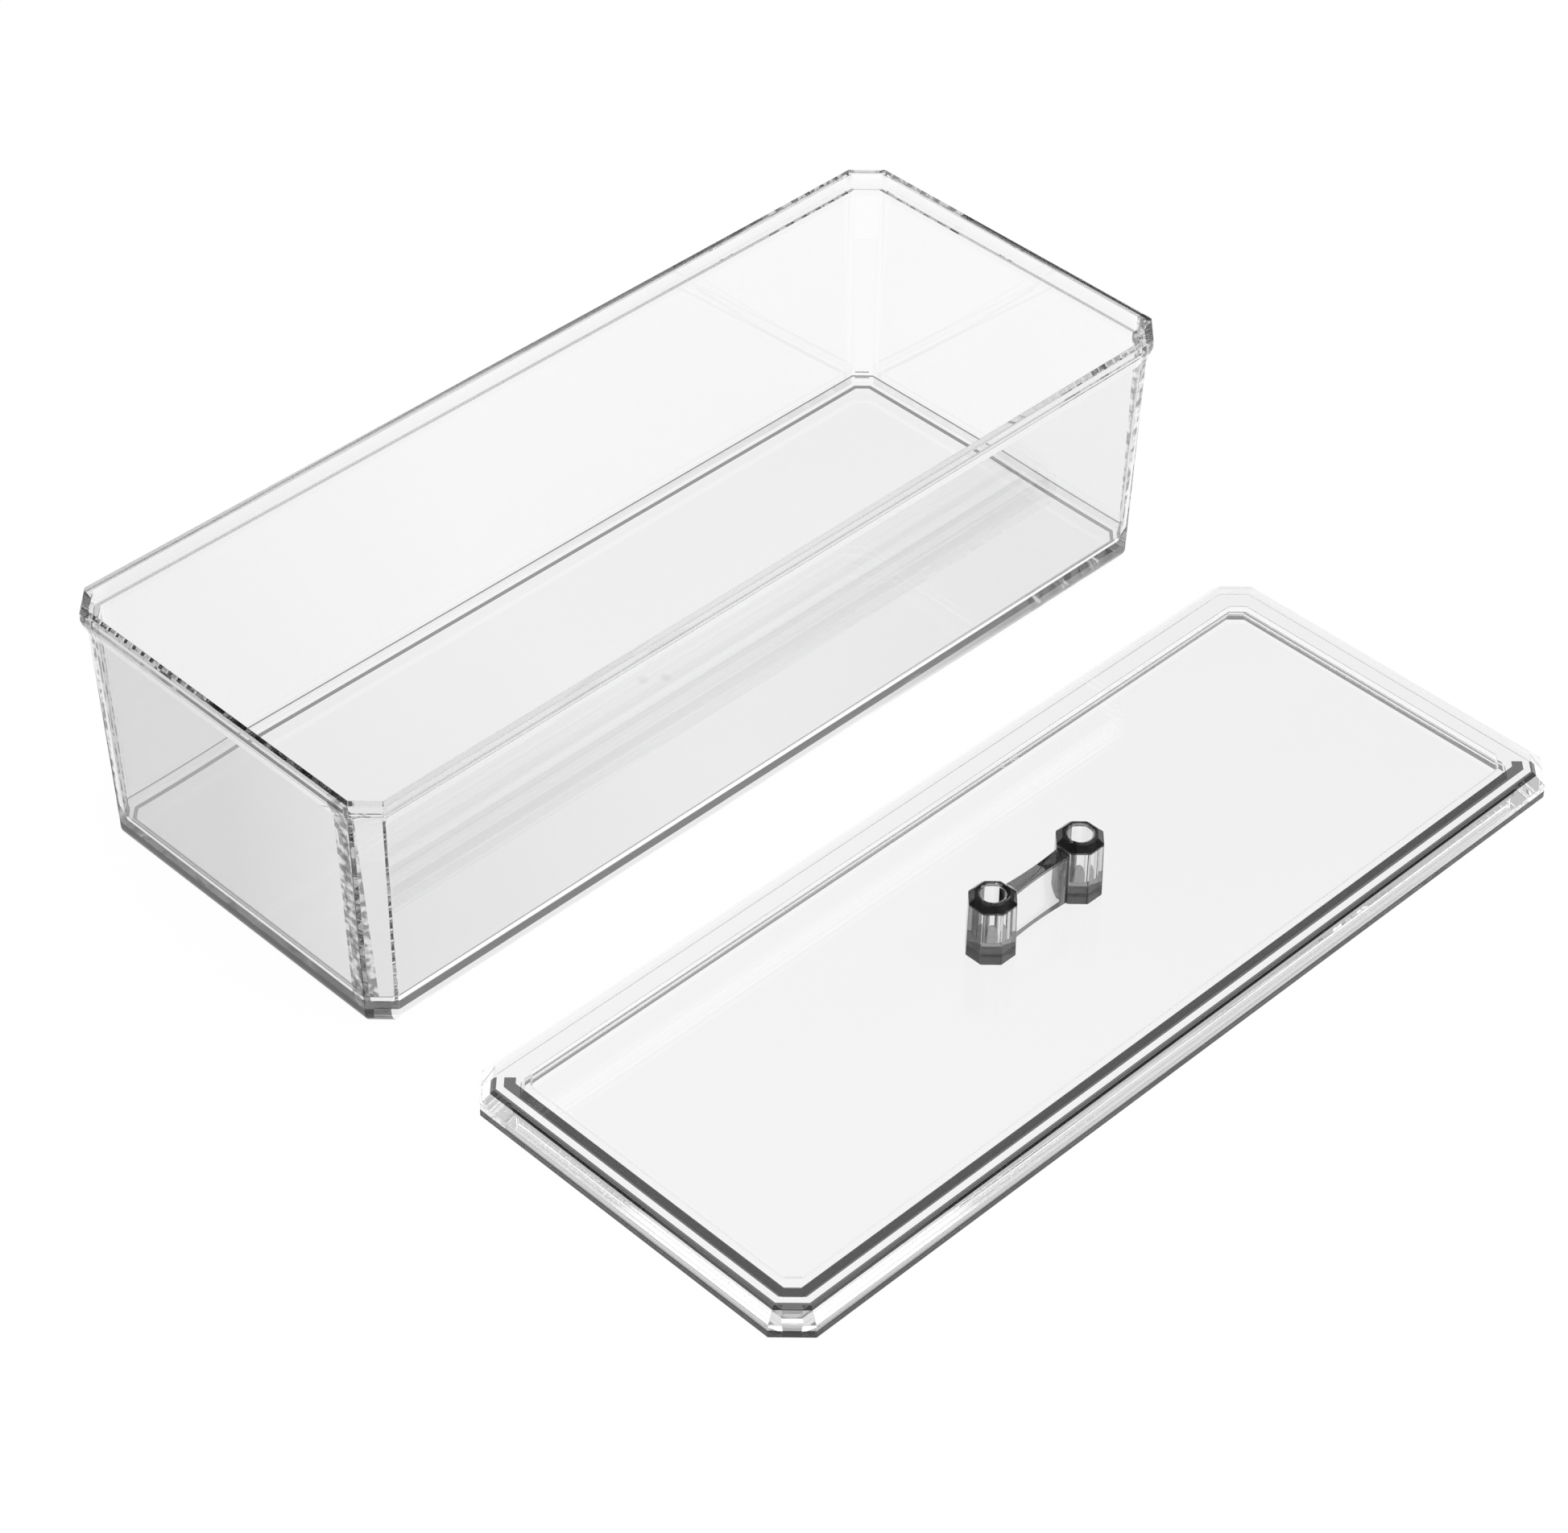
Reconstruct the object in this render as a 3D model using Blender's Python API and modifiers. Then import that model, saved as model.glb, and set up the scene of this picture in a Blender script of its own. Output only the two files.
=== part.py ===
# Clear lidded box for tea bags: an open moulded tray, a lid with a raised border, and a grip bonded to the lid.
# The lid lies on the table in front of the tray, as when it has been lifted off.
# Metres, +Z up. The origin is the middle of the tray's underside, +X runs along the long side.

from collections import namedtuple
from math import acos, cos, pi, sin, sqrt

import bmesh
import bpy
from mathutils import Matrix

MM = 0.001

# Tray, outside
RIM_LENGTH = 250.0 * MM
RIM_WIDTH = 101.0 * MM
RIM_CORNER = 6.4 * MM        # leg of the 45 degree cut at each corner of the rim
TRAY_HEIGHT = 66.4 * MM
BASE_LENGTH = 244.2 * MM     # where the walls, run on down, would meet the table
BASE_WIDTH = 95.5 * MM
BASE_CORNER = 5.3 * MM
FOOT_ROUND = 3.8 * MM        # radius round the underside
LIP_FACE = 2.2 * MM          # upright band under the rim
LIP_DEPTH = 6.5 * MM         # where the lip has run back into the wall
LIP_OVERHANG = 1.4 * MM      # how far the rim stands out from the wall

# Tray, inside
WALL_AT_RIM = 2.0 * MM
WALL_AT_FOOT = 2.8 * MM      # the core that shapes the inside has more draft than the outside
FLOOR = 5.4 * MM
FLOOR_ROUND = 1.4 * MM       # radius between the floor and the walls
RIM_LAND = 2.0 * MM          # flat top of the rim
MOUTH_DEPTH = 3.9 * MM       # straight band inside the rim, down to the ledge

# Lid
CORNER_EASE = 0.6 * MM       # how much more the lid's corners are cut than the rim's
EDGE_BAND = 3.65 * MM        # upright foot of the lid's edge, from the rim that it sits on
EDGE_RISE = 2.95 * MM        # height of the slope above that band
EDGE_LEAN = 3.05 * MM        # how far the slope leans in
BORDER = 6.6 * MM            # flat top of the border, from the slope to the sunken panel
SINK = 1.75 * MM             # depth of the panel below the border
PANEL = 2.1 * MM             # thickness of the panel
PANEL_CORNER = 3.0 * MM      # leg of the corner cuts of the panel and of the pocket under it
PLUG_DEPTH = 0.6 * MM        # how far the ring under the border drops into the mouth
PLUG_CLEARANCE = 0.5 * MM    # to the mouth, on each side
PLUG_WALL = 5.45 * MM        # width of that ring at its foot
POCKET_DRAFT = 0.85 * MM     # how far the pocket inside the ring leans in, up to the panel

# Where the lid lies
LID_GAP = 22.9 * MM          # from the tray's rim to the lid's edge
LID_SHIFT = 2.2 * MM         # along the long side

# Grip
POST_FLATS = 10.6 * MM       # across the flats of an octagonal post, at its top
POST_DRAFT = 0.4 * MM        # how much wider it is at its foot
POST_HEIGHT = 16.4 * MM
CROWN_HEIGHT = 1.4 * MM      # sloping top of a post, round its bore
CROWN_LEAN = 1.4 * MM        # how far the crown leans in
POST_SPACING = 28.0 * MM     # between the posts' axes
BORE_DIAMETER = 5.8 * MM
BORE_DEPTH = 11.4 * MM
WEB_WAIST = 2.8 * MM         # thickness of the web midway between the posts
WEB_ROOT = 5.0 * MM          # thickness of the web where it meets a post
WEB_DROP = 2.2 * MM          # how far the web's top lies below the posts' tops
BOND_LINE = 0.3 * MM         # adhesive between the grip's foot and the panel

# Edges
EDGE_ROUND = 0.35 * MM
ROUND_STEPS = 2
QUARTER_STEPS = 6            # levels of a quarter round
BORE_SIDES = 32
ARC_STEPS = 12

Outline = namedtuple("Outline", "length width corner")
PLASTIC = {"colour": (0.93, 0.94, 0.94, 0.25), "roughness": 0.04}
CORNER_SHARE = 2 - sqrt(2)   # what a 45 degree corner cut loses when the outline moves in by 1


def inset(outline, distance):
    """The outline moved in by the same distance on the sides and on the corner cuts."""
    corner = outline.corner - CORNER_SHARE * distance
    return Outline(outline.length - 2 * distance, outline.width - 2 * distance, corner)


def between(low, high, share):
    return Outline(*(a + (b - a) * share for a, b in zip(low, high)))


def corner_points(outline):
    x, y, cut = outline.length / 2, outline.width / 2, outline.corner
    return [
        (x, -y + cut), (x, y - cut), (x - cut, y), (-x + cut, y),
        (-x, y - cut), (-x, -y + cut), (-x + cut, -y), (x - cut, -y),
    ]


def clear_scene():
    for obj in list(bpy.data.objects):
        bpy.data.objects.remove(obj, do_unlink=True)


def new_collection(name):
    collection = bpy.data.collections.new(name)
    bpy.context.scene.collection.children.link(collection)
    return collection


def new_object(name, bm, collection):
    mesh = bpy.data.meshes.new(name)
    bmesh.ops.recalc_face_normals(bm, faces=bm.faces)
    bm.to_mesh(mesh)
    bm.free()
    obj = bpy.data.objects.new(name, mesh)
    collection.objects.link(obj)
    return obj


def clear_plastic(name):
    material = bpy.data.materials.new(name)
    material.use_nodes = True
    shader = material.node_tree.nodes["Principled BSDF"]
    red, green, blue, alpha = PLASTIC["colour"]
    shader.inputs["Base Color"].default_value = (red, green, blue, 1)
    shader.inputs["Alpha"].default_value = alpha
    shader.inputs["Metallic"].default_value = 0
    shader.inputs["Roughness"].default_value = PLASTIC["roughness"]
    return material


def loft(name, levels, collection):
    """A closed solid through (height, outline) levels. It may rise outside and come down inside, as a bowl does."""
    bm = bmesh.new()
    rings = []
    for height, outline in levels:
        rings.append([bm.verts.new((x, y, height)) for x, y in corner_points(outline)])
    for lower, upper in zip(rings, rings[1:]):
        for k in range(len(lower)):
            after = (k + 1) % len(lower)
            bm.faces.new((lower[k], lower[after], upper[after], upper[k]))
    bm.faces.new(rings[0][::-1])
    bm.faces.new(rings[-1])
    return new_object(name, bm, collection)


def round_edges(obj):
    bevel = obj.modifiers.new("Rounded edges", "BEVEL")
    bevel.width = EDGE_ROUND
    bevel.segments = ROUND_STEPS
    bevel.limit_method = "ANGLE"
    bevel.angle_limit = pi / 7
    bevel.use_clamp_overlap = True


def boolean(obj, other, operation):
    modifier = obj.modifiers.new(operation.title(), "BOOLEAN")
    modifier.operation = operation
    modifier.solver = "EXACT"
    modifier.object = other


rim = Outline(RIM_LENGTH, RIM_WIDTH, RIM_CORNER)
base = Outline(BASE_LENGTH, BASE_WIDTH, BASE_CORNER)
mouth = inset(rim, RIM_LAND)
lid_top = PLUG_DEPTH + EDGE_BAND + EDGE_RISE
panel_top = lid_top - SINK


def tray_wall(height):
    """The outer face of the tapered wall at this height."""
    top = TRAY_HEIGHT - LIP_DEPTH
    return between(base, inset(rim, LIP_OVERHANG), height / top)


def tray_inside(height):
    """The inner face of that wall."""
    thickness = WALL_AT_FOOT + (WALL_AT_RIM - WALL_AT_FOOT) * height / TRAY_HEIGHT
    return inset(tray_wall(height), thickness)


def quarter_round(floor, radius, wall):
    """Levels of a quarter circle from a level face at the height floor up into the outline wall."""
    levels = []
    for step in range(QUARTER_STEPS + 1):
        turn = pi / 2 * step / QUARTER_STEPS
        levels.append((floor + radius - radius * cos(turn), inset(wall, radius - radius * sin(turn))))
    return levels


def make_tray(collection):
    ledge = TRAY_HEIGHT - MOUTH_DEPTH
    lip_root = TRAY_HEIGHT - LIP_DEPTH
    levels = quarter_round(0, FOOT_ROUND, tray_wall(FOOT_ROUND))
    levels += [
        (lip_root, tray_wall(lip_root)),
        (TRAY_HEIGHT - LIP_FACE, rim),
        (TRAY_HEIGHT, rim),
        (TRAY_HEIGHT, mouth),
        (ledge, mouth),
        (ledge, tray_inside(ledge)),
    ]
    levels += reversed(quarter_round(FLOOR, FLOOR_ROUND, tray_inside(FLOOR + FLOOR_ROUND)))
    tray = loft("tray", levels, collection)
    round_edges(tray)
    return tray


def make_lid(collection, place):
    """A thin panel inside a border, with a ring under it that drops into the mouth. It lies on that ring."""
    cover = rim._replace(corner=RIM_CORNER + CORNER_EASE)
    border = inset(cover, EDGE_LEAN)
    sunken = inset(border, BORDER)._replace(corner=PANEL_CORNER)
    plug = inset(mouth, PLUG_CLEARANCE)
    pocket = inset(plug, PLUG_WALL)._replace(corner=PANEL_CORNER)
    levels = [
        (panel_top - PANEL, inset(pocket, POCKET_DRAFT)),
        (0, pocket),
        (0, plug),
        (PLUG_DEPTH, plug),
        (PLUG_DEPTH, cover),
        (PLUG_DEPTH + EDGE_BAND, cover),
        (lid_top, border),
        (lid_top, sunken),
        (panel_top, sunken),
    ]
    lid = loft("lid", levels, collection)
    lid.parent = place
    round_edges(lid)
    return lid


def web_outline():
    """The web seen from above: each long side is an arc that is hollow towards the middle."""
    reach = POST_SPACING / 2
    depth = (WEB_ROOT - WEB_WAIST) / 2
    radius = (reach ** 2 + depth ** 2) / (2 * depth)
    half_turn = acos((radius - depth) / radius)
    points = []
    for side in (1, -1):
        for step in range(ARC_STEPS + 1):
            turn = half_turn * (2 * step / ARC_STEPS - 1)
            x = -side * radius * sin(turn)
            y = side * (WEB_WAIST / 2 + radius - radius * cos(turn))
            points.append((x, y))
    return points


def make_web(height, cutters):
    curve = bpy.data.curves.new("grip web", "CURVE")
    curve.dimensions = "2D"
    curve.fill_mode = "BOTH"
    curve.extrude = height / 2
    spline = curve.splines.new("POLY")
    outline = web_outline()
    spline.points.add(len(outline) - 1)
    for point, (x, y) in zip(spline.points, outline):
        point.co = (x, y, 0, 1)
    spline.use_cyclic_u = True
    guide = bpy.data.objects.new("grip web outline", curve)
    cutters.objects.link(guide)
    bpy.context.view_layer.update()
    mesh = bpy.data.meshes.new_from_object(guide.evaluated_get(bpy.context.evaluated_depsgraph_get()))
    bpy.data.objects.remove(guide, do_unlink=True)
    bm = bmesh.new()
    bm.from_mesh(mesh)
    bpy.data.meshes.remove(mesh)
    bmesh.ops.remove_doubles(bm, verts=bm.verts, dist=1e-6)
    bmesh.ops.translate(bm, verts=bm.verts, vec=(0, 0, height / 2))
    return new_object("grip web", bm, cutters)


def make_post(name, side, collection):
    """One octagonal post with two flats square to the web, a little wider at its foot."""
    over_corners = 1 / cos(pi / 8)
    shaft = POST_HEIGHT - CROWN_HEIGHT
    bm = bmesh.new()
    bmesh.ops.create_cone(
        bm, cap_ends=True, segments=8, depth=shaft,
        radius1=(POST_FLATS + POST_DRAFT) / 2 * over_corners, radius2=POST_FLATS / 2 * over_corners,
    )
    bmesh.ops.rotate(bm, verts=bm.verts, cent=(0, 0, 0), matrix=Matrix.Rotation(pi / 8, 3, "Z"))
    top = max(bm.faces, key=lambda face: face.calc_center_median().z)
    bmesh.ops.inset_region(bm, faces=[top], thickness=CROWN_LEAN, depth=CROWN_HEIGHT)
    bmesh.ops.translate(bm, verts=bm.verts, vec=(side * POST_SPACING / 2, 0, shaft / 2))
    return new_object(name, bm, collection)


def make_bore(side, cutters):
    """Cutter for the blind bore in a post. It reaches as far above the post's top as below it."""
    bm = bmesh.new()
    bmesh.ops.create_cone(
        bm, cap_ends=True, segments=BORE_SIDES, depth=2 * BORE_DEPTH,
        radius1=BORE_DIAMETER / 2, radius2=BORE_DIAMETER / 2,
    )
    bmesh.ops.translate(bm, verts=bm.verts, vec=(side * POST_SPACING / 2, 0, POST_HEIGHT))
    return new_object("bore", bm, cutters)


def make_grip(collection, cutters, place):
    """Two hollow octagonal posts joined by a waisted web, standing on the lid's panel."""
    grip = make_post("handle", -1, collection)
    second = make_post("second post", 1, cutters)
    web = make_web(POST_HEIGHT - WEB_DROP, cutters)
    boolean(grip, second, "UNION")
    boolean(grip, web, "UNION")
    helpers = [second, web]
    for side in (-1, 1):
        bore = make_bore(side, cutters)
        boolean(grip, bore, "DIFFERENCE")
        helpers.append(bore)
    for piece in [grip] + helpers:
        piece.location.z = panel_top + BOND_LINE
        piece.parent = place
    return grip


def make_place(collection):
    """The spot on the table where the lid lies, in line with its lift."""
    place = bpy.data.objects.new("lid place", None)
    place.empty_display_size = RIM_WIDTH / 4
    place.location = (LID_SHIFT, -RIM_WIDTH - LID_GAP, 0)
    collection.objects.link(place)
    return place


def main():
    clear_scene()
    parts = new_collection("tea bag organizer")
    cutters = new_collection("cutters")
    place = make_place(parts)
    pieces = {
        "clear tray": make_tray(parts),
        "clear lid": make_lid(parts, place),
        "clear grip": make_grip(parts, cutters, place),
    }
    for name, piece in pieces.items():
        piece.data.materials.append(clear_plastic(name))
    for helper in cutters.objects:
        helper.hide_render = True
        helper.display_type = "WIRE"


main()
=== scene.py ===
# Looks for a clear lidded tea box: its plastic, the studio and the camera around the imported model.
from math import cos, pi, radians, sin, sqrt

import bpy
from mathutils import Matrix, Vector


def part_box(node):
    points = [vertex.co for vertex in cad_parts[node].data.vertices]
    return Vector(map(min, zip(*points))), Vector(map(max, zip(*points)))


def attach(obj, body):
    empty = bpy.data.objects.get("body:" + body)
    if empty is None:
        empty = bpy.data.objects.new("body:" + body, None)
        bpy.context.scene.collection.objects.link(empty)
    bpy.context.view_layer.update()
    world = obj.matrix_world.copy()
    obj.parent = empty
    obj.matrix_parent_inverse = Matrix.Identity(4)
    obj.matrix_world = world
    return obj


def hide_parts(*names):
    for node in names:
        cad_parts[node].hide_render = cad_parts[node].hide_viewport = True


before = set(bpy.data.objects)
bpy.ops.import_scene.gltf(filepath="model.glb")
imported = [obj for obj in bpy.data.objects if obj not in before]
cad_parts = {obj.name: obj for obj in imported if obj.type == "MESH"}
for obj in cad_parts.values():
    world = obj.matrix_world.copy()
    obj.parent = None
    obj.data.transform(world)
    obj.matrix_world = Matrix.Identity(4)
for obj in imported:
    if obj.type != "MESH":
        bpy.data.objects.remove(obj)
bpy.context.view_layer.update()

mm = 0.001
trayLow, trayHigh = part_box("tray")
lidLow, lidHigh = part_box("lid")
lidMiddle = (lidLow + lidHigh) / 2
rimLength = trayHigh.x - trayLow.x
rimWidth = trayHigh.y - trayLow.y
print("frame loaded:", ", ".join(sorted(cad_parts)))

camera = {
    "heading": -44.91,      # degrees, from +Y towards +X
    "tilt": 48.95,          # degrees up from straight down
    "roll": 0.48,
    "right": 0.0334,        # metres, across the view
    "up": -0.0196,
    "distance": 1.0373,
    "lens": 100.61,
    "sensor": 36.0,
    "near": 0.01,
}


def makeCamera(v):
    data = bpy.data.cameras.new("photoCamera")
    data.sensor_width = v["sensor"]
    data.lens = v["lens"]
    data.clip_start = v["near"]
    eye = bpy.data.objects.new("photoCamera", data)
    turn = Matrix.Rotation(radians(v["heading"]), 4, "Z") @ Matrix.Rotation(radians(v["tilt"]), 4, "X")
    turn = turn @ Matrix.Rotation(radians(v["roll"]), 4, "Z")
    eye.matrix_world = turn @ Matrix.Translation((v["right"], v["up"], v["distance"]))
    bpy.context.scene.collection.objects.link(eye)
    bpy.context.scene.camera = eye


makeCamera(camera)
print("camera placed")


# An output of a node. Sums on it add Math nodes to its tree, so rules read as ordinary Python.
class Link:
    def __init__(self, maker, node, socket):
        self.maker = maker
        self.node = node
        self.socket = socket

    def out(self, name):
        return Link(self.maker, self.node, self.node.outputs[name])

    def math(self, operation, first, second=0.0):
        return self.maker.add("ShaderNodeMath", {"operation": operation}, {0: first, 1: second})

    def __add__(self, other):
        return self.math("ADD", self, other)

    def __radd__(self, other):
        return self.math("ADD", other, self)

    def __sub__(self, other):
        return self.math("SUBTRACT", self, other)

    def __rsub__(self, other):
        return self.math("SUBTRACT", other, self)

    def __mul__(self, other):
        return self.math("MULTIPLY", self, other)

    def __rmul__(self, other):
        return self.math("MULTIPLY", other, self)

    def __truediv__(self, other):
        return self.math("DIVIDE", self, other)

    def __mod__(self, other):
        return self.math("MODULO", self, other)

    def __lt__(self, other):
        return self.math("LESS_THAN", self, other)

    def __gt__(self, other):
        return self.math("GREATER_THAN", self, other)

    def most(self, other):
        return self.math("MINIMUM", self, other)

    def least(self, other):
        return self.math("MAXIMUM", self, other)

    def size(self):
        return self.math("ABSOLUTE", self)

    def sign(self):
        return self.math("SIGN", self)

    def cosine(self):
        return self.math("COSINE", self)

    def sine(self):
        return self.math("SINE", self)

    def within(self, low, high):
        return (self > low) * (self < high)


# Adds nodes to one tree: settings come first, then the values or links of its sockets.
class Maker:
    def __init__(self, tree):
        self.tree = tree

    def add(self, kind, settings=None, sockets=None, out=0):
        node = self.tree.nodes.new(kind)
        for name, value in (settings or {}).items():
            if name == "stops":
                self.setStops(node.color_ramp.elements, value)
            else:
                setattr(node, name, value)
        for key, value in (sockets or {}).items():
            for item in value if isinstance(value, list) else [value]:
                self.feed(node.inputs[key], item)
        return Link(self, node, node.outputs[out] if len(node.outputs) else None)

    def feed(self, socket, value):
        if isinstance(value, Link):
            self.tree.links.new(value.socket, socket)
        else:
            socket.default_value = value

    def setStops(self, elements, stops):
        while len(elements) < len(stops):
            elements.new(1.0)
        for element, (place, level) in zip(elements, stops):
            element.position = place
            element.color = (level, level, level, 1)

    def vector(self, x=0.0, y=0.0, z=0.0):
        return self.add("ShaderNodeCombineXYZ", None, {0: x, 1: y, 2: z})

    def parts(self, vector):
        split = self.add("ShaderNodeSeparateXYZ", None, {0: vector})
        return split, split.out("Y"), split.out("Z")

    def noise(self, place, scale, detail):
        return self.add("ShaderNodeTexNoise", None, {"Vector": place, "Scale": scale, "Detail": detail})

    def ramp(self, place, stops):
        return self.add("ShaderNodeValToRGB", {"stops": stops}, {"Fac": place})

    def grey(self, level):
        return self.add("ShaderNodeCombineColor", None, {0: level, 1: level, 2: level})

    def mixColour(self, share, first, second, blend="MIX"):
        settings = {"data_type": "RGBA", "blend_type": blend}
        return self.add("ShaderNodeMix", settings, {0: share, 6: first, 7: second}, 2)

    # Darkens a colour by pairs of a mask and a level or colour.
    def tint(self, colour, tints):
        for mask, shade in tints:
            if isinstance(shade, float):
                shade = (shade, shade, shade, 1)
            colour = self.mixColour(mask, colour, shade, "MULTIPLY")
        return colour


def openTree(name, inputs):
    tree = bpy.data.node_groups.new(name, "GeometryNodeTree")
    for label, kind in inputs.items():
        tree.interface.new_socket(label, in_out="INPUT", socket_type="NodeSocket" + kind)
    tree.interface.new_socket("Geometry", in_out="OUTPUT", socket_type="NodeSocketGeometry")
    nodes = Maker(tree)
    return nodes, nodes.add("NodeGroupInput")


def closeTree(nodes, geometry, material):
    real = nodes.add("GeometryNodeRealizeInstances", None, {"Geometry": geometry})
    done = nodes.add("GeometryNodeSetMaterial", None, {"Geometry": real, "Material": material})
    nodes.add("NodeGroupOutput", None, {"Geometry": done})
    return nodes.tree


# Runs a tree on a guide mesh and keeps the result as a plain mesh.
def grow(name, guide, tree, values):
    piece = bpy.data.objects.new(name, guide)
    bpy.context.scene.collection.objects.link(piece)
    modifier = piece.modifiers.new("grow", "NODES")
    modifier.node_group = tree
    for item in tree.interface.items_tree:
        if item.in_out == "INPUT" and item.name in values:
            modifier[item.identifier] = values[item.name]
    bpy.context.view_layer.update()
    evaluated = piece.evaluated_get(bpy.context.evaluated_depsgraph_get())
    mesh = bpy.data.meshes.new_from_object(evaluated)
    piece.modifiers.remove(modifier)
    piece.data = mesh
    mesh.name = name
    return piece


def roundEdges(piece, v):
    piece.data.shade_smooth()
    bevel = piece.modifiers.new("rounded edges", "BEVEL")
    bevel.width = v["radius"]
    bevel.segments = v["steps"]
    bevel.limit_method = "ANGLE"
    bevel.angle_limit = radians(v["from"])
    bevel.use_clamp_overlap = True
    bevel.harden_normals = True


weld = 0.001 * mm
edges = {"radius": 0.15 * mm, "steps": 4, "from": 10.0}     # from: degrees between two faces
cornerShare = 2 - sqrt(2)       # what a 45 degree cut's leg loses when its outline moves in by 1


# A corner guide runs from the middle of the underside, up the outside and down the inside.
# Each of its points says how far both pairs of walls stand in from the rim there, how high it is,
# and how long the leg of the 45 degree corner cut is.
def cornerGuide(name, levels):
    mesh = bpy.data.meshes.new(name)
    points = [(inX, inY, height) for height, inX, inY, cut in levels]
    mesh.from_pydata(points, [(k, k + 1) for k in range(len(points) - 1)], [])
    cuts = mesh.attributes.new("cut", "FLOAT", "POINT")
    cuts.data.foreach_set("value", [cut for height, inX, inY, cut in levels])
    return mesh


# A level with all walls moved in alike from the rim.
def level(height, inset, cut):
    return height, inset, inset, cut


# A level drawn in to a line along the middle, which closes a floor or a ceiling.
def ridge(height, width):
    return height, width / 2, width / 2, 0


def movedIn(wall, distance, height):
    return height, wall[1] + distance, wall[2] + distance, wall[3] - cornerShare * distance


# Levels of a quarter round, from a level face up into a wall.
def quarterRound(bottom, radius, wall, steps):
    turns = [pi / 2 * k / steps for k in range(steps + 1)]
    return [movedIn(wall, radius * (1 - sin(turn)), bottom + radius * (1 - cos(turn))) for turn in turns]


# Carries a corner guide round the box.
def makeBoxTree():
    nodes, given = openTree("corner guide to box", {
        "Guide": "Geometry", "Length": "Float", "Width": "Float", "Middle": "Vector",
        "Weld": "Float", "Material": "Material",
    })
    around = 8      # two points to a corner, counted round from the +X end
    guide = given.out("Guide")
    count = nodes.add("GeometryNodeAttributeDomainSize", None, {"Geometry": guide}, "Point Count")
    sheet = nodes.add("GeometryNodeMeshGrid", None, {"Vertices X": around + 1, "Vertices Y": count})
    index = nodes.add("GeometryNodeInputIndex")
    row = index % count
    column = (index - row) / count
    position = nodes.add("GeometryNodeInputPosition")
    cutField = nodes.add("GeometryNodeInputNamedAttribute", {"data_type": "FLOAT"}, {"Name": "cut"})
    atRow = {"Geometry": guide, "Index": row}
    inset = nodes.add("GeometryNodeSampleIndex", {"data_type": "FLOAT_VECTOR"}, {**atRow, "Value": position})
    cut = nodes.add("GeometryNodeSampleIndex", {"data_type": "FLOAT"}, {**atRow, "Value": cutField})
    turn = (column - 0.5) * (2 * pi / around)
    signX = turn.cosine().sign()
    signY = turn.sine().sign()
    # of a corner's two points one lies on an end wall and the other on a side wall
    onEnd = (column % (around / 2)) < 1.5
    insetX, insetY, height = nodes.parts(inset)
    x = signX * (given.out("Length") / 2 - insetX - cut * (1 - onEnd))
    y = signY * (given.out("Width") / 2 - insetY - cut * onEnd)
    shaped = nodes.add("GeometryNodeSetPosition", None, {
        "Geometry": sheet, "Position": nodes.vector(x, y, height), "Offset": given.out("Middle"),
    })
    welded = nodes.add("GeometryNodeMergeByDistance", None, {
        "Geometry": shaped, "Distance": given.out("Weld"),
    })
    return closeTree(nodes, welded, given.out("Material"))


boxTree = makeBoxTree()
print("box tree ready")

# What all the plastic shares. Stops are pairs of an input, 0 to 1, and a level.
plastic = {
    "clear": (0.998, 1.0, 0.999, 1),        # what its surfaces let through
    "clouded": (0.988, 0.992, 0.990, 1),
    "cloudStops": [(0.35, 0.0), (0.7, 1.0)],
    "flowStretch": (7.0, 30.0, 30.0),       # per metre: the melt ran along the box
    "flowDetail": 3.0,
    "smoke": (0.5, 0.505, 0.503, 1),        # its grey cast grows with depth
    "index": 1.52,
    "shadow": (0.94, 0.94, 0.94, 1),        # what each surface lets through to the floor
    "waveScale": 30.0,
    "waveDetail": 1.0,
    "waveDepth": 0.001 * mm,
    "polish": 0.002,                        # roughness of the moulded faces
    "rub": 0.12,                            # roughness of the scuffs on what it stands on
    "rubHeight": 0.3 * mm,
    "rubScale": 1500.0,
    "rubDetail": 2.0,
    "rubStops": [(0.56, 0.0), (0.64, 1.0)],
}


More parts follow.
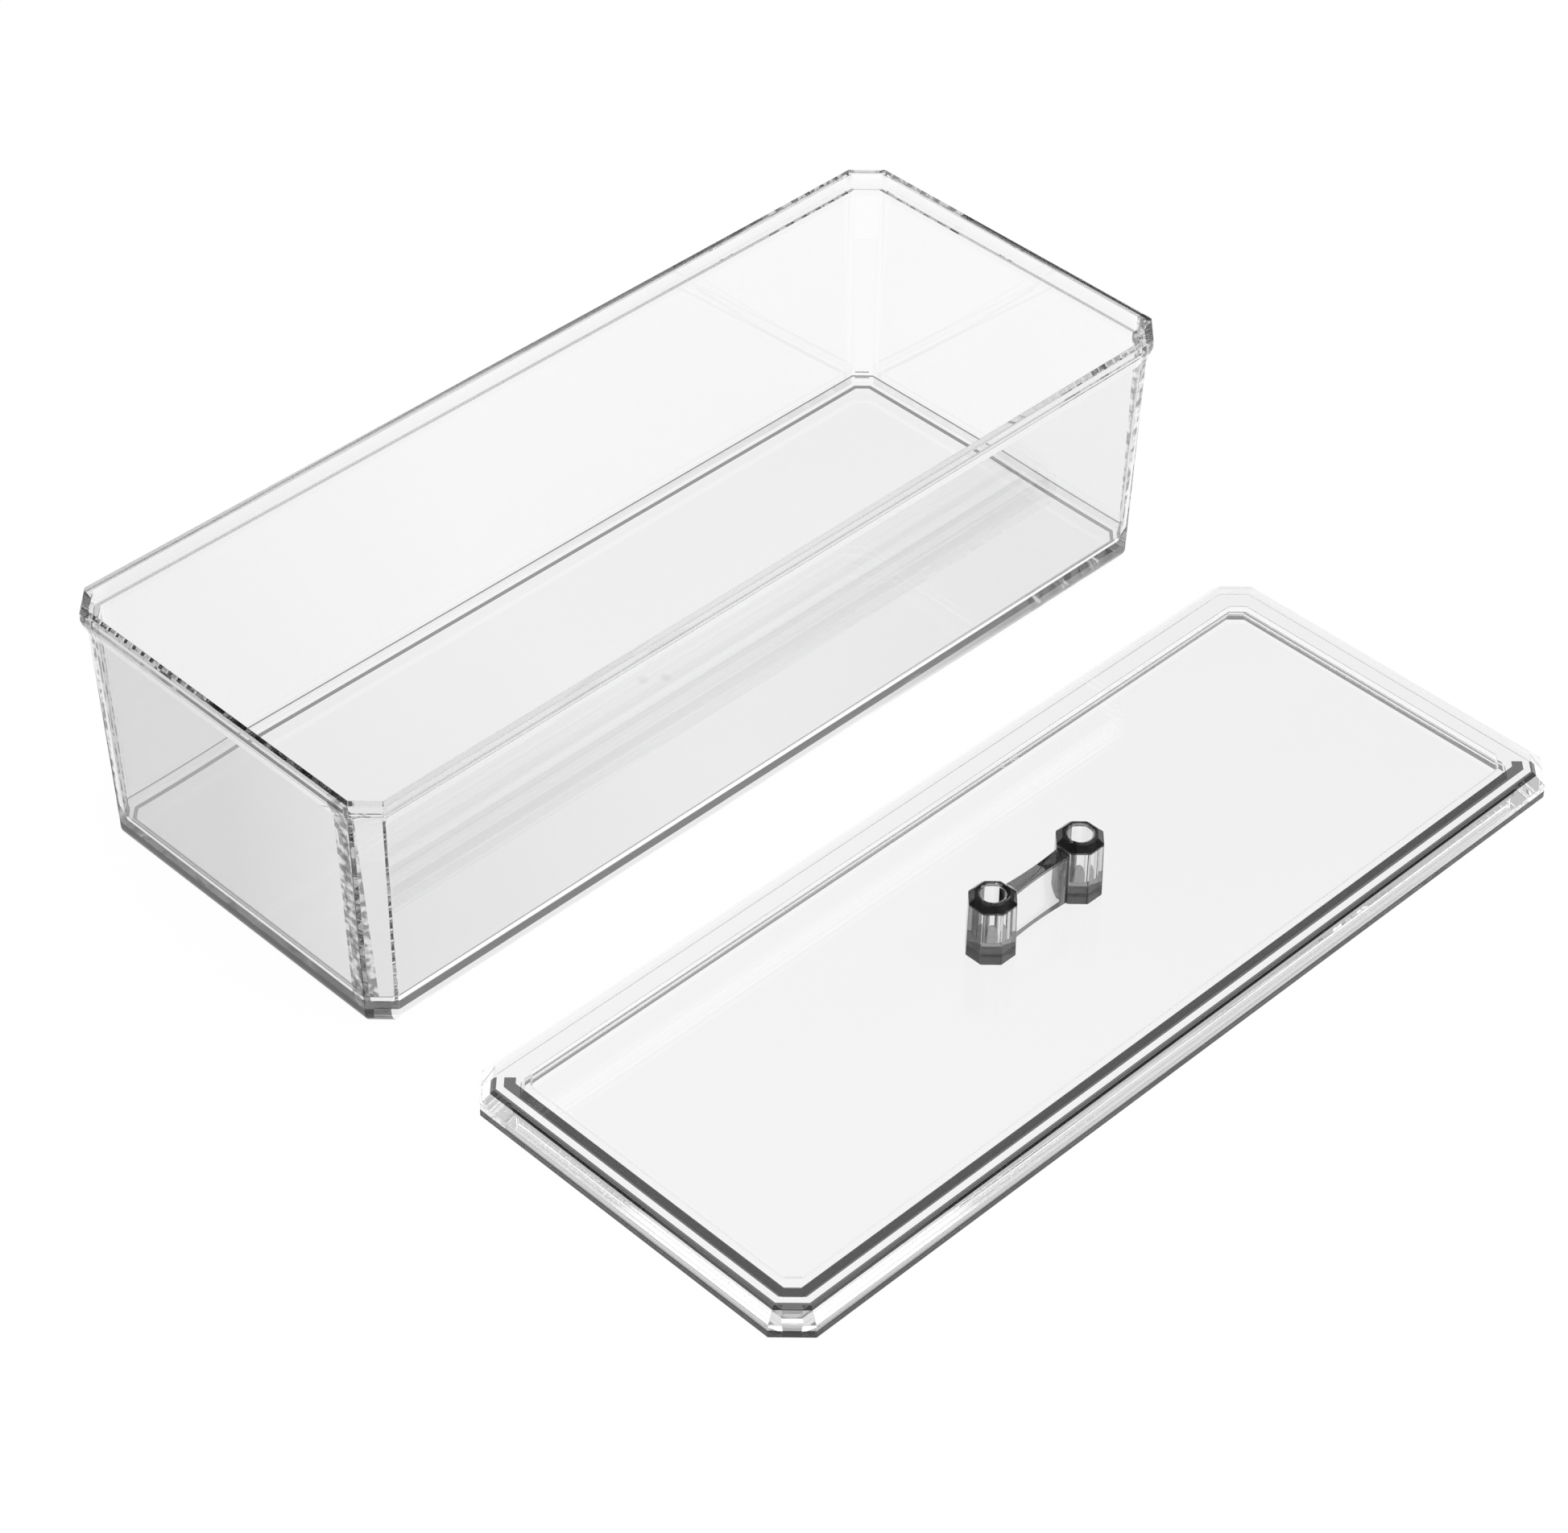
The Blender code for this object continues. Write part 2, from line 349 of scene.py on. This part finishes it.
def makePlastic(name, piece, shade, glow=None):
    v = {**plastic, **piece}
    material = bpy.data.materials.new(name)
    material.use_nodes = True
    material.node_tree.nodes.clear()
    shader = Maker(material.node_tree)
    place = shader.add("ShaderNodeTexCoord", out="Object")
    stretched = shader.add("ShaderNodeMapping", None, {"Vector": place, "Scale": v["flowStretch"]})
    cloud = shader.ramp(shader.noise(stretched, 1.0, v["flowDetail"]), v["cloudStops"])
    # the piece's painted shade darkens its colour
    colour = shade(shader, place, shader.mixColour(cloud, v["clear"], v["clouded"]), v)
    # fine scratches where it rubs on the table
    low = shader.parts(place)[2] < v["rubHeight"]
    scuffs = shader.ramp(shader.noise(place, v["rubScale"], v["rubDetail"]), v["rubStops"])
    roughness = v["polish"] + low * scuffs * v["rub"]
    wave = shader.noise(place, v["waveScale"], v["waveDetail"])
    bump = shader.add("ShaderNodeBump", None, {"Strength": 1.0, "Distance": v["waveDepth"], "Height": wave})
    body = shader.add("ShaderNodeBsdfPrincipled", None, {
        "Base Color": colour, "Roughness": roughness, "IOR": v["index"], "Transmission Weight": 1.0,
        "Normal": bump,
    })
    if glow:
        # a painted glow: it shows in the piece's edges, but isn't sampled as a lamp
        material.cycles.emission_sampling = "NONE"
        shader.feed(body.node.inputs["Emission Color"], glow(shader, place, v))
        shader.feed(body.node.inputs["Emission Strength"], 1.0)
    # lamps reach the floor through the plastic
    shadowRay = shader.add("ShaderNodeLightPath", out="Is Shadow Ray")
    pane = shader.add("ShaderNodeBsdfTransparent", None, {"Color": v["shadow"]})
    surface = shader.add("ShaderNodeMixShader", None, {0: shadowRay, 1: body, 2: pane})
    smoke = shader.add("ShaderNodeVolumeAbsorption", None, {
        "Color": v["smoke"], "Density": v["smokeDensity"],
    })
    shader.add("ShaderNodeOutputMaterial", None, {"Surface": surface, "Volume": smoke})
    return material


tray = {
    "corner": 6.4 * mm,         # leg of the rim's corner cut
    "height": trayHigh.z - trayLow.z,
    "baseLength": 244.2 * mm,
    "baseWidth": 95.5 * mm,
    "baseCorner": 5.3 * mm,
    "footRound": 3.8 * mm,
    "footRoundSteps": 12,
    "lipFace": 2.2 * mm,
    "lipDepth": 6.5 * mm,
    "lipOverhang": 1.4 * mm,
    "wallAtRim": 2.0 * mm,
    "wallAtFoot": 2.8 * mm,
    "floor": 5.4 * mm,
    "floorRound": 2.4 * mm,
    "floorRoundSteps": 2,
    "rimLand": 2.0 * mm,
    "mouthDepth": 3.9 * mm,
    # its finish and painted shade: stops run along the box from -X to +X, on the end wall from -Y to +Y
    "smokeDensity": 8.0,
    # painted shade, darker towards the -X end
    "shades": [(0.0, 0.92), (0.45, 1.0)],
    "wallFrom": 7.0 * mm,                   # the walls' painted shades start at this height
    "cutFrom": 163.5 * mm,                  # the corner cuts lie where X and Y add up to more
    # painted shade on the walls
    "wallShade": 0.96,
    "lean": 0.03,                           # how far the walls lean out, per height
    # painted shade on the side facing -Y, greyer towards +X
    "sideShades": [(0.1, 1.0), (0.4, 0.96), (0.8, 0.88), (1.0, 0.88)],
    "end": (-118.0 * mm, 42.5 * mm),        # the end wall lies beyond this X, within this Y
    # painted shade on the -X end wall, darker towards +Y
    "endShades": [(0.0, 1.0), (0.5, 0.86), (1.0, 0.84)],
    "outside": (-120.8 * mm, 46.6 * mm),    # the foot's outside lies beyond these
    "footLine": (2.2 * mm, 5.3 * mm),       # heights of the painted dark line at the foot
    # painted shade: the line is darkest at the -X end, and on the -Y side darker towards +X
    "footShade": 0.03,
    "footSideShades": [(0.0, 0.9), (0.55, 0.85), (0.8, 0.4), (1.0, 0.15)],
    "creases": [(5.42 * mm, 5.75 * mm), (7.5 * mm, 7.85 * mm)],     # heights of the floor's two painted dark lines
    "creaseShade": 0.12,
    # painted shade: speckled dark bands down the -X corners, between these Y
    "cornerBands": [(-42.9 * mm, -38.9 * mm), (39.4 * mm, 40.0 * mm), (41.6 * mm, 42.6 * mm)],
    "farCorner": (119.4 * mm, -44.6 * mm, -41.4 * mm),      # the painted band at the far corner: beyond this X, between these Y
    "cornerGrain": 500.0,
    "cornerDetail": 1.0,
    "cornerStops": [(0.42, 0.1), (0.62, 0.9)],
    "gateMarks": [(-4.0 * mm, -3.8 * mm), (0.6 * mm, -6.6 * mm)],   # on the floor, where the melt came in
    "gateSize": 1.7 * mm,
    "gateShade": 0.78,
    # painted light: the foot's outside glows, along the box
    "glow": [(0.0, 0.62), (0.6, 0.58), (0.8, 0.25), (1.0, 0.1)],
    "glowHeight": (0.1 * mm, 5.4 * mm),
}


# Painted shade: greys of the walls, dark lines along the foot, round the floor and down the corners; and the
# gate marks.
def shadeTray(shader, place, colour, v):
    x, side, height = shader.parts(place)
    along = x / rimLength + 0.5
    endX, endY = v["end"]
    outsideX, outsideY = v["outside"]
    farX, farLow, farHigh = v["farCorner"]
    aboveFoot = height > v["wallFrom"]
    onWall = aboveFoot * (x.size() + side.size() < v["cutFrom"])
    onSide = side + height * v["lean"] < -outsideY
    onEnd = (x < endX) * (side.size() < endY) * onWall
    onFootLine = height.within(*v["footLine"])
    onFloor = height.within(v["floor"] - v["gateSize"], v["floor"] + v["gateSize"])
    inside = (x.size() < -outsideX) * (side.size() < outsideY)
    # speckled painted shade for the corner bands
    cornerShadeSpeckle = shader.ramp(shader.noise(place, v["cornerGrain"], v["cornerDetail"]), v["cornerStops"])
    tints = [
        (1.0, shader.ramp(along, v["shades"])),
        (onWall * (1 - onSide), v["wallShade"]),
        (onWall * onSide, shader.ramp(along, v["sideShades"])),
        (onEnd, shader.ramp(side / (2 * endY) + 0.5, v["endShades"])),
        (onFootLine * (x < outsideX), v["footShade"]),
        (onFootLine * (side < -outsideY), shader.ramp(along, v["footSideShades"])),
    ]
    # painted dark lines round the floor's creases
    for low, high in v["creases"]:
        tints.append((inside * height.within(low, high), v["creaseShade"]))
    for low, high in v["cornerBands"]:
        tints.append(((x < endX) * aboveFoot * side.within(low, high), cornerShadeSpeckle))
    tints.append(((x > farX) * aboveFoot * side.within(farLow, farHigh), cornerShadeSpeckle))
    for atX, atY in v["gateMarks"]:
        away = ((x - atX) * (x - atX) + (side - atY) * (side - atY)) / v["gateSize"] ** 2
        tints.append(((1 - away).least(0.0) * onFloor, v["gateShade"]))
    return shader.tint(colour, tints)


# Painted light: the foot's outside on the lid's side glows a little, standing in for the light that the
# plastic pipes to its edges.
def glowTray(shader, place, v):
    x, side, height = shader.parts(place)
    onFoot = (side < -v["outside"][1]) * height.within(*v["glowHeight"])
    return shader.tint(shader.ramp(x / rimLength + 0.5, v["glow"]), [(1.0, shader.grey(onFoot))])


# The tapered wall's outside at a height, as a level that can be moved in.
def trayWall(v, height):
    share = height / (v["height"] - v["lipDepth"])
    baseX = (rimLength - v["baseLength"]) / 2
    baseY = (rimWidth - v["baseWidth"]) / 2
    lipCut = v["corner"] - cornerShare * v["lipOverhang"]
    x = baseX + (v["lipOverhang"] - baseX) * share
    y = baseY + (v["lipOverhang"] - baseY) * share
    cut = v["baseCorner"] + (lipCut - v["baseCorner"]) * share
    return height, x, y, cut


def trayInside(v, height):
    thickness = v["wallAtFoot"] + (v["wallAtRim"] - v["wallAtFoot"]) * height / v["height"]
    return movedIn(trayWall(v, height), thickness, height)


def makeTray(v):
    ledge = v["height"] - v["mouthDepth"]
    mouthCut = v["corner"] - cornerShare * v["rimLand"]
    inside = trayInside(v, v["floor"] + v["floorRound"])
    levels = [
        ridge(0, rimWidth),
        *quarterRound(0, v["footRound"], trayWall(v, v["footRound"]), v["footRoundSteps"]),
        trayWall(v, v["height"] - v["lipDepth"]),
        level(v["height"] - v["lipFace"], 0, v["corner"]),
        level(v["height"], 0, v["corner"]),
        level(v["height"], v["rimLand"], mouthCut),
        level(ledge, v["rimLand"], mouthCut),
        trayInside(v, ledge),
        *reversed(quarterRound(v["floor"], v["floorRound"], inside, v["floorRoundSteps"])),
        ridge(v["floor"], rimWidth),
    ]
    piece = grow("trayMoulding", cornerGuide("tray guide", levels), boxTree, {
        "Length": rimLength, "Width": rimWidth, "Middle": (0, 0, trayLow.z), "Weld": weld,
        "Material": makePlastic("clearTray", v, shadeTray, glowTray),
    })
    roundEdges(piece, edges)
    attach(piece, "tray_body")
    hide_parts("tray")


makeTray(tray)
print("tray moulded")

lid = {
    "corner": 7.0 * mm,
    "plugDepth": 0.6 * mm,
    "plugInset": 2.5 * mm,
    "edgeFace": 3.65 * mm,      # upright band of the edge
    "edgeHeight": 6.6 * mm,
    "edgeSlope": 3.05 * mm,     # how far the edge leans in above the band
    "border": 9.65 * mm,        # from the edge to the sunken panel
    "panelTop": 4.85 * mm,
    "panel": 2.1 * mm,
    "pocketInset": 7.95 * mm,
    "pocketDraft": 0.85 * mm,
    "panelCorner": 3.0 * mm,
    # its finish and painted shade: stops run along the lid from -X to +X
    "smokeDensity": 2.0,
    # painted shade, a little grey towards +X
    "shades": [(0.35, 1.0), (0.9, 0.98)],
    "lines": [                      # painted dark lines: distances in from the outline, heights, level
        ((5.1 * mm, 7.6 * mm), (7.0 * mm, 7.3 * mm), 0.04),
        ((2.2 * mm, 3.5 * mm), (4.5 * mm, 7.3 * mm), 0.04),
        ((-0.1 * mm, 0.4 * mm), (0.55 * mm, 2.6 * mm), 0.01),
    ],
    "glow": 0.26,                   # of the painted highlight, a pale strip between the lower two lines
    "glowInset": (-0.1 * mm, 2.2 * mm),
    "glowHeight": (2.7 * mm, 6.4 * mm),
}


# How far along the lid a point lies, how far in from its outline and how high, and whether it is
# at the two edges that face -X and -Y.
def lidPlace(shader, place):
    x, side, height = shader.parts(place)
    x = x - lidMiddle.x
    side = side - lidMiddle.y
    inX = rimLength / 2 - x.size()
    inY = rimWidth / 2 - side.size()
    inCorner = (inX + inY - lid["corner"]) * sqrt(0.5)
    inset = inX.most(inY).most(inCorner)
    near = ((x < 0.0) * (inX < inY)).least((side < 0.0) * (inY < inX))
    return x, inset, height, near


# Painted shade: dark lines along those edges, and a little grey towards the far end.
def shadeLid(shader, place, colour, v):
    x, inset, height, near = lidPlace(shader, place)
    tints = [(1.0, shader.ramp(x / rimLength + 0.5, v["shades"]))]
    for insets, heights, shade in v["lines"]:
        tints.append((near * inset.within(*insets) * height.within(*heights), shade))
    return shader.tint(colour, tints)


# Painted highlight: the pale strip glows between the lower two lines of those edges.
def glowLid(shader, place, v):
    inset, height, near = lidPlace(shader, place)[1:]
    return shader.grey(near * inset.within(*v["glowInset"]) * height.within(*v["glowHeight"]) * v["glow"])


def makeLid(v):
    foot = v["plugDepth"]
    top = foot + v["edgeHeight"]
    panelTop = foot + v["panelTop"]
    pocketTop = panelTop - v["panel"]
    pocket = level(0, v["pocketInset"], v["panelCorner"])
    plugCut = tray["corner"] - cornerShare * v["plugInset"]
    levels = [
        ridge(pocketTop, rimWidth),
        movedIn(pocket, v["pocketDraft"], pocketTop),
        pocket,
        level(0, v["plugInset"], plugCut),
        level(foot, v["plugInset"], plugCut),
        level(foot, 0, v["corner"]),
        level(foot + v["edgeFace"], 0, v["corner"]),
        level(top, v["edgeSlope"], v["corner"] - cornerShare * v["edgeSlope"]),
        level(top, v["border"], v["panelCorner"]),
        level(panelTop, v["border"], v["panelCorner"]),
        ridge(panelTop, rimWidth),
    ]
    piece = grow("lidMoulding", cornerGuide("lid guide", levels), boxTree, {
        "Length": rimLength, "Width": rimWidth, "Middle": (lidMiddle.x, lidMiddle.y, lidLow.z),
        "Weld": weld, "Material": makePlastic("clearLid", v, shadeLid, glowLid),
    })
    roundEdges(piece, edges)
    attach(piece, "lid_body")
    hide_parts("lid")


makeLid(lid)
print("lid moulded")

grip = {
    # inputs of its tree
    "Flats": 10.6 * mm, "Foot Flats": 11.0 * mm, "Height": 16.4 * mm, "Spacing": 28.0 * mm,
    "Crown Flats": 7.8 * mm, "Crown": 1.4 * mm, "Bore": 5.8 * mm, "Bore Depth": 11.4 * mm,
    "Waist": 2.8 * mm, "Root": 5.0 * mm, "Drop": 2.2 * mm,
    "bond": 0.3 * mm,           # between the panel and the grip's foot
    "edges": {"radius": 0.25 * mm, "steps": 3, "from": 24.0},
    # its finish and painted shade: heights from its foot, distances from a post's middle
    "smokeDensity": 14.0,
    "crownFrom": 14.6 * mm,
    "crownInside": 3.3 * mm,    # where the painted dark ring starts
    "crownShade": 0.03,
    "post": 6.2 * mm,           # a post lies within this
    "leftFrom": 2.5 * mm,       # left and right as the photo shows them
    "leftShade": 0.1,
    "rightFrom": 4.2 * mm,
    "rightShade": 0.6,
    "footTop": 3.3 * mm,
    "footShade": 0.12,
    "webTop": (13.2 * mm, 14.3 * mm),
    "webShade": 0.07,
}
gripFoot = lidLow.z + lid["plugDepth"] + lid["panelTop"] + grip["bond"]


# Painted shade: darkens the crowns round the bores, the posts' sides and feet, and the web's top.
def shadeGrip(shader, place, colour, v):
    x, side, height = shader.parts(place)
    x = x - lidMiddle.x
    side = side - lidMiddle.y
    height = height - gripFoot
    fromPost = x - x.sign() * (v["Spacing"] / 2)
    right = (fromPost - side) * sqrt(0.5)
    reach = fromPost * fromPost + side * side
    onPost = reach < v["post"] ** 2
    return shader.tint(colour, [
        ((height > v["crownFrom"]) * (reach > v["crownInside"] ** 2), v["crownShade"]),
        (onPost * (right < -v["leftFrom"]), v["leftShade"]),
        (onPost * (right > v["rightFrom"]), v["rightShade"]),
        (onPost * (height < v["footTop"]), v["footShade"]),
        ((1 - onPost) * height.within(*v["webTop"]), v["webShade"]),
    ])


def makeGripTree():
    nodes, given = openTree("posts and web", {
        "Geometry": "Geometry", "Flats": "Float", "Foot Flats": "Float", "Height": "Float",
        "Spacing": "Float", "Crown Flats": "Float", "Crown": "Float", "Bore": "Float",
        "Bore Depth": "Float", "Waist": "Float", "Root": "Float", "Drop": "Float",
        "Middle": "Vector", "Weld": "Float", "Material": "Material",
    })
    postSides = 8
    boreSides = 48
    webColumns = 17
    height = given.out("Height")
    spacing = given.out("Spacing")
    crown = given.out("Crown")
    spots = nodes.add("GeometryNodeMeshLine", {"mode": "OFFSET"}, {
        "Count": 2, "Start Location": nodes.vector(spacing * -0.5), "Offset": nodes.vector(spacing),
    })
    overCorners = 0.5 / cos(pi / postSides)     # from a width across flats to the corners' radius
    shaft = nodes.add("GeometryNodeMeshCone", None, {
        "Vertices": postSides, "Radius Top": given.out("Flats") * overCorners,
        "Radius Bottom": given.out("Foot Flats") * overCorners, "Depth": height - crown,
    })
    top = nodes.add("GeometryNodeMeshCone", None, {
        "Vertices": postSides, "Radius Top": given.out("Crown Flats") * overCorners,
        "Radius Bottom": given.out("Flats") * overCorners, "Depth": crown,
    })
    top = nodes.add("GeometryNodeTransform", None, {
        "Geometry": top, "Translation": nodes.vector(z=height - crown),
    })
    union = {"operation": "UNION", "solver": "EXACT"}
    post = nodes.add("GeometryNodeMeshBoolean", union, {"Mesh 2": [shaft, top]})
    post = nodes.add("GeometryNodeTransform", None, {"Geometry": post, "Rotation": (0, 0, pi / postSides)})
    posts = nodes.add("GeometryNodeInstanceOnPoints", None, {"Points": spots, "Instance": post})
    posts = nodes.add("GeometryNodeRealizeInstances", None, {"Geometry": posts})
    # the web starts as a bar with its sides at -1 and 1, and is thinner towards its middle
    webHeight = height - given.out("Drop")
    bar = nodes.add("GeometryNodeMeshCube", None, {
        "Size": nodes.vector(spacing, 2.0, webHeight), "Vertices X": webColumns,
    })
    x, side, z = nodes.parts(nodes.add("GeometryNodeInputPosition"))
    waist = given.out("Waist")
    reach = x * 2 / spacing
    halfThickness = (waist + (given.out("Root") - waist) * reach * reach) / 2
    web = nodes.add("GeometryNodeSetPosition", None, {
        "Geometry": bar, "Position": nodes.vector(x, side * halfThickness, z + webHeight / 2),
    })
    solid = nodes.add("GeometryNodeMeshBoolean", union, {"Mesh 2": [posts, web]})
    bore = nodes.add("GeometryNodeMeshCylinder", None, {
        "Vertices": boreSides, "Radius": given.out("Bore") / 2, "Depth": given.out("Bore Depth") * 2,
    })
    bore = nodes.add("GeometryNodeTransform", None, {"Geometry": bore, "Translation": nodes.vector(z=height)})
    bores = nodes.add("GeometryNodeInstanceOnPoints", None, {"Points": spots, "Instance": bore})
    bores = nodes.add("GeometryNodeRealizeInstances", None, {"Geometry": bores})
    drilled = nodes.add("GeometryNodeMeshBoolean", {"operation": "DIFFERENCE", "solver": "EXACT"}, {
        "Mesh 1": solid, "Mesh 2": bores,
    })
    placed = nodes.add("GeometryNodeTransform", None, {
        "Geometry": drilled, "Translation": given.out("Middle"),
    })
    welded = nodes.add("GeometryNodeMergeByDistance", None, {
        "Geometry": placed, "Distance": given.out("Weld"),
    })
    return closeTree(nodes, welded, given.out("Material"))


def makeGrip(v):
    piece = grow("gripMoulding", bpy.data.meshes.new("grip guide"), makeGripTree(), {
        **v, "Middle": (lidMiddle.x, lidMiddle.y, gripFoot), "Weld": weld,
        "Material": makePlastic("clearGrip", v, shadeGrip),
    })
    roundEdges(piece, v["edges"])
    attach(piece, "lid_body")
    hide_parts("handle")


makeGrip(grip)
print("grip moulded")

studio = {
    "reach": 30.0,
    "drop": 0.1 * mm,
    "floor": (0.95, 0.95, 0.95, 1),
    "white": 0.94,              # share of the floor that is plain white to the eye and in the plastic
    "sunPower": 3.1,
    "sunSpread": 60.0,          # degrees
    "sunTilt": (25.0, 10.0),
    "sky": [(0.05, 1.0), (0.25, 0.25), (0.7, 0.22), (1.0, 0.3)],       # sine of the elevation, level
    "bounces": 64,
}


def makeFloor(v):
    reach = v["reach"]
    mesh = bpy.data.meshes.new("floor")
    corners = [(-reach, -reach), (reach, -reach), (reach, reach), (-reach, reach)]
    mesh.from_pydata([(x, y, -v["drop"]) for x, y in corners], [], [(0, 1, 2, 3)])
    floor = bpy.data.objects.new("floor", mesh)
    bpy.context.scene.collection.objects.link(floor)
    material = bpy.data.materials.new("paleFloor")
    material.use_nodes = True
    material.node_tree.nodes.clear()
    shader = Maker(material.node_tree)
    paths = shader.add("ShaderNodeLightPath")
    seen = paths.out("Is Camera Ray") + paths.out("Is Glossy Ray") + paths.out("Is Transmission Ray")
    matt = shader.add("ShaderNodeBsdfDiffuse", None, {"Color": v["floor"]})
    white = shader.add("ShaderNodeEmission", None, {"Strength": 1.0})
    surface = shader.add("ShaderNodeMixShader", None, {0: seen.most(1.0) * v["white"], 1: matt, 2: white})
    shader.add("ShaderNodeOutputMaterial", None, {"Surface": surface})
    floor.data.materials.append(material)


# White round the horizon and mid-grey above, as in a light tent with a duller top.
def makeWorld(v):
    world = bpy.data.worlds.new("studio")
    bpy.context.scene.world = world
    world.use_nodes = True
    world.node_tree.nodes.clear()
    shader = Maker(world.node_tree)
    direction = shader.add("ShaderNodeTexCoord", out="Generated")
    brightness = shader.ramp(shader.parts(direction)[2], v["sky"])
    sky = shader.add("ShaderNodeBackground", None, {"Color": brightness, "Strength": 1.0})
    shader.add("ShaderNodeOutputWorld", None, {"Surface": sky})


# A broad soft light overhead, which lights the table but doesn't show in the plastic.
def makeSun(v):
    data = bpy.data.lights.new("softSun", "SUN")
    data.energy = v["sunPower"]
    data.angle = radians(v["sunSpread"])
    sun = bpy.data.objects.new("softSun", data)
    sun.rotation_euler = [radians(a) for a in v["sunTilt"]] + [0]
    sun.visible_glossy = False
    sun.visible_transmission = False
    bpy.context.scene.collection.objects.link(sun)


makeFloor(studio)
makeWorld(studio)
makeSun(studio)
scene = bpy.context.scene
scene.view_settings.view_transform = "Standard"
scene.cycles.max_bounces = studio["bounces"]
scene.cycles.glossy_bounces = studio["bounces"]
scene.cycles.transmission_bounces = studio["bounces"]
scene.cycles.caustics_reflective = False
scene.cycles.caustics_refractive = False
print("studio lit")
